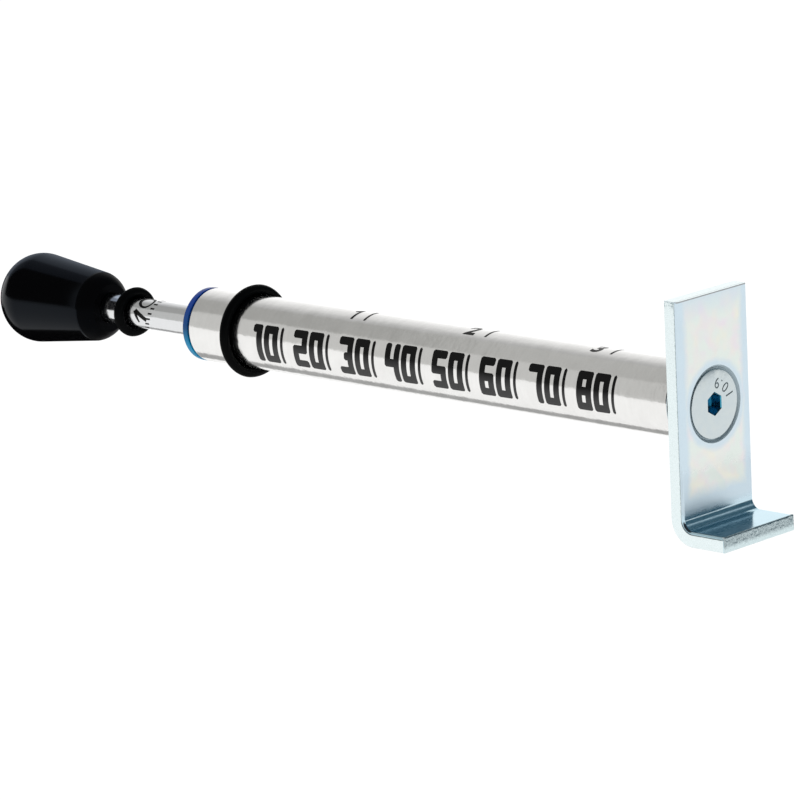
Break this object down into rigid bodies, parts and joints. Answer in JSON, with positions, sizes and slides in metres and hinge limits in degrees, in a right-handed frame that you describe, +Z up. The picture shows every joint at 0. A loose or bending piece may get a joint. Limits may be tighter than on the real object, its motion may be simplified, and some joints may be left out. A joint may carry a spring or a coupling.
{
  "type": "belt tension gauge",
  "caption": "Pencil-type belt tension gauge: a sprung push rod with a tapered knob slides in a steel tube with a hook bracket, and rubber marker rings keep the reading.",
  "frame": {"origin": "on the bracket's belt face, on its centre line, between the screw's countersink and the bend, 10.5 mm below the barrel's axis", "axes": "+X along the barrel's axis, out of the belt face towards the belt; +Z up along the bracket's plate, away from the foot; Y across the strip"},
  "size_m": [0.1614, 0.0166, 0.0378],
  "materials": {
    "steel_tube": "fine ground stainless tube with black printed scale",
    "bright_steel": "ground and polished steel",
    "zinc_plate": "bright zinc plated steel strip, sheared edges",
    "zinc_screw": "bright zinc plated screw",
    "spring_steel": "drawn spring wire",
    "brass": "turned",
    "blue_bush": "blue moulded plastic",
    "black_plug": "black moulded nylon",
    "black_knob": "polished black thermoset",
    "black_rubber": "moulded O-ring"
  },
  "bodies": {
    "barrel": {"barrel": "steel_tube", "guide_bush": "blue_bush", "end_plug": "black_plug", "hook_bracket": "zinc_plate", "bracket_screw": "zinc_screw", "compression_spring": "spring_steel", "seat_washer": "bright_steel"},
    "follower": {"spring_follower": "brass", "stop_washer": "bright_steel"},
    "plunger": {"plunger_rod": "bright_steel", "retaining_clip": "spring_steel", "knob": "black_knob", "knob_insert": "brass"},
    "force_marker": {"force_ring": "black_rubber"},
    "deflection_marker": {"deflection_ring": "black_rubber"}
  },
  "joints": [
    {"name": "plunger_slide", "type": "slide", "parent": "barrel", "child": "follower", "axis": [1, 0, 0], "range_m": [0, 0.0154], "stiffness_N_per_m": 2490, "springref_m": -0.002, "deforming": ["compression_spring"]},
    {"name": "knob_spin", "type": "hinge", "parent": "follower", "child": "plunger", "pos_m": [-0.138, 0, 0.0105], "axis": [1, 0, 0], "continuous": true},
    {"name": "force_ring_slide", "type": "slide", "parent": "plunger", "child": "force_marker", "axis": [-1, 0, 0], "range_m": [0, 0.004]},
    {"name": "deflection_ring_slide", "type": "slide", "parent": "barrel", "child": "deflection_marker", "axis": [1, 0, 0], "range_m": [-0.0085, 0.091]}
  ]
}
